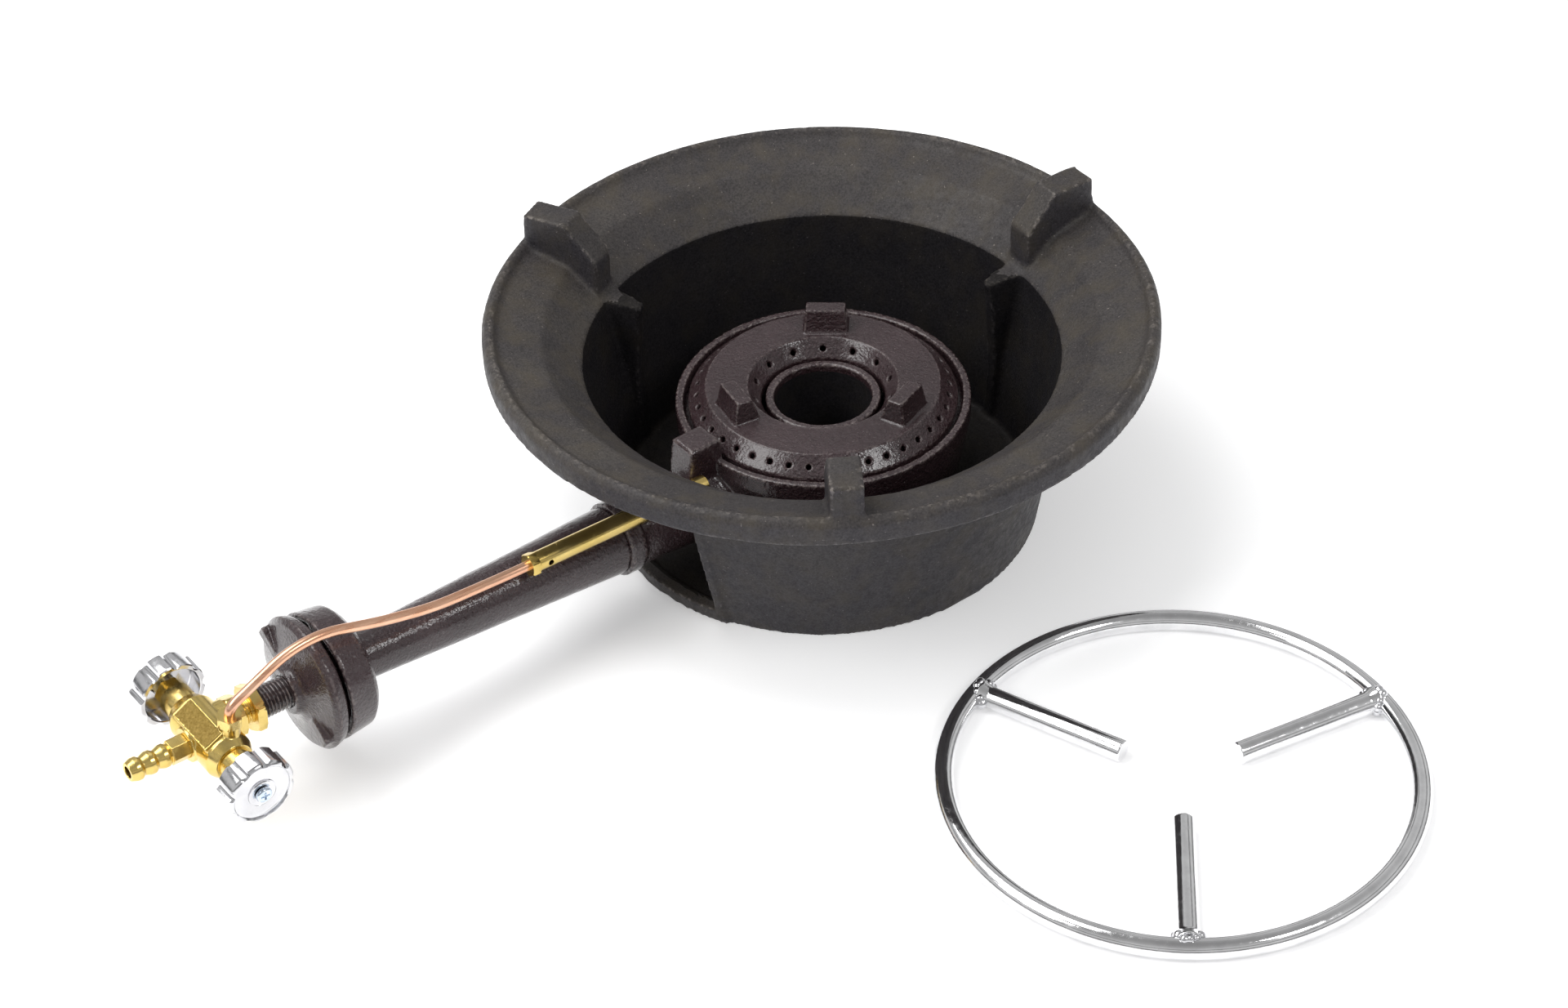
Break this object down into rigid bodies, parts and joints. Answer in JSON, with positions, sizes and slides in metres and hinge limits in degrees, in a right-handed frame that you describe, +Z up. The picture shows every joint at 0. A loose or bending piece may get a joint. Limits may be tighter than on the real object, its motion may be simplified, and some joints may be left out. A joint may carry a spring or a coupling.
{
  "type": "wok burner",
  "caption": "Cast-iron wok burner: a bowl stand on a drum, a ring burner with lift-off cap, a mixing tube with air shutter, a gas valve with knobs, a pilot line and a loose wok ring",
  "frame": {"origin": "centre of the underside of the drum's floor", "axes": "+Z up; the mixing tube and the gas valve lie towards -X; +Y is the side of the main knob"},
  "size_m": [0.5809, 0.564, 0.137],
  "materials": {
    "stand_iron": "raw sand-cast iron, dark grey",
    "burner_enamel": "brown high-heat enamel, glossy with orange peel",
    "cap_enamel": "brown high-heat enamel, matt",
    "brass": "machined, bright",
    "copper": "drawn copper tube, satin",
    "chrome": "bright plate",
    "zinc_screw": "blue zinc plate",
    "black_iron": "brown-black painted threaded pipe",
    "spindle_steel": "turned",
    "packing": "white sealing ring"
  },
  "bodies": {
    "stand": {"stand_bowl": "stand_iron", "stand_drum": "stand_iron", "burner_body": "burner_enamel", "burner_chimney": "burner_enamel", "mixing_tube": "burner_enamel", "nozzle_holder": "black_iron", "gas_jet": "brass", "outlet_adapter": "brass", "lock_nut": "brass", "valve_body": "brass", "hose_barb": "brass", "pilot_nut": "brass", "pilot_pipe": "copper", "pilot_burner": "brass", "pilot_jet": "brass", "pilot_inlet_nut": "brass", "main_bonnet": "brass", "main_packing_ring": "packing", "main_gland_nut": "brass", "pilot_bonnet": "brass", "pilot_packing_ring": "packing", "pilot_gland_nut": "brass"},
    "cap": {"burner_cap": "cap_enamel"},
    "shutter": {"air_shutter": "burner_enamel"},
    "main_disc": {"main_valve_disc": "brass"},
    "main_stem": {"main_spindle": "spindle_steel", "main_knob": "chrome", "main_knob_screw": "zinc_screw"},
    "pilot_disc": {"pilot_valve_disc": "brass"},
    "pilot_stem": {"pilot_spindle": "spindle_steel", "pilot_knob": "chrome", "pilot_knob_screw": "zinc_screw"},
    "wok_ring": {"ring_hoop": "chrome", "ring_spokes": "chrome"}
  },
  "joints": [
    {"name": "cap_lift", "type": "slide", "parent": "stand", "child": "cap", "axis": [0, 0, 1], "range_m": [0, 0.15]},
    {"name": "air_shutter_slide", "type": "slide", "parent": "stand", "child": "shutter", "axis": [-0.999, 0, 0.0454], "range_m": [-0.0017, 0.008]},
    {"name": "main_disc_slide", "type": "slide", "parent": "stand", "child": "main_disc", "axis": [0.0029, 0.9979, 0.0645], "range_m": [0, 0.0015]},
    {"name": "main_knob_turn", "type": "hinge", "parent": "main_disc", "child": "main_stem", "pos_m": [-0.36782, 0, 0.0538], "axis": [0.0029, 0.9979, 0.0645], "range_deg": [0, 540]},
    {"name": "pilot_disc_slide", "type": "slide", "parent": "stand", "child": "pilot_disc", "axis": [-0.0029, -0.9979, -0.0645], "range_m": [0, 0.0015]},
    {"name": "pilot_knob_turn", "type": "hinge", "parent": "pilot_disc", "child": "pilot_stem", "pos_m": [-0.36782, 0, 0.0538], "axis": [-0.0029, -0.9979, -0.0645], "range_deg": [0, 540]},
    {"name": "wok_ring_slide", "type": "slide", "parent": "stand", "child": "wok_ring", "axis": [0, -1, 0], "range_m": [0, 0.15]}
  ],
  "couplings": [
    {"joint": "main_knob_turn", "follows": "main_disc_slide", "rad_per_m": 6283.2},
    {"joint": "pilot_knob_turn", "follows": "pilot_disc_slide", "rad_per_m": 6283.2}
  ]
}
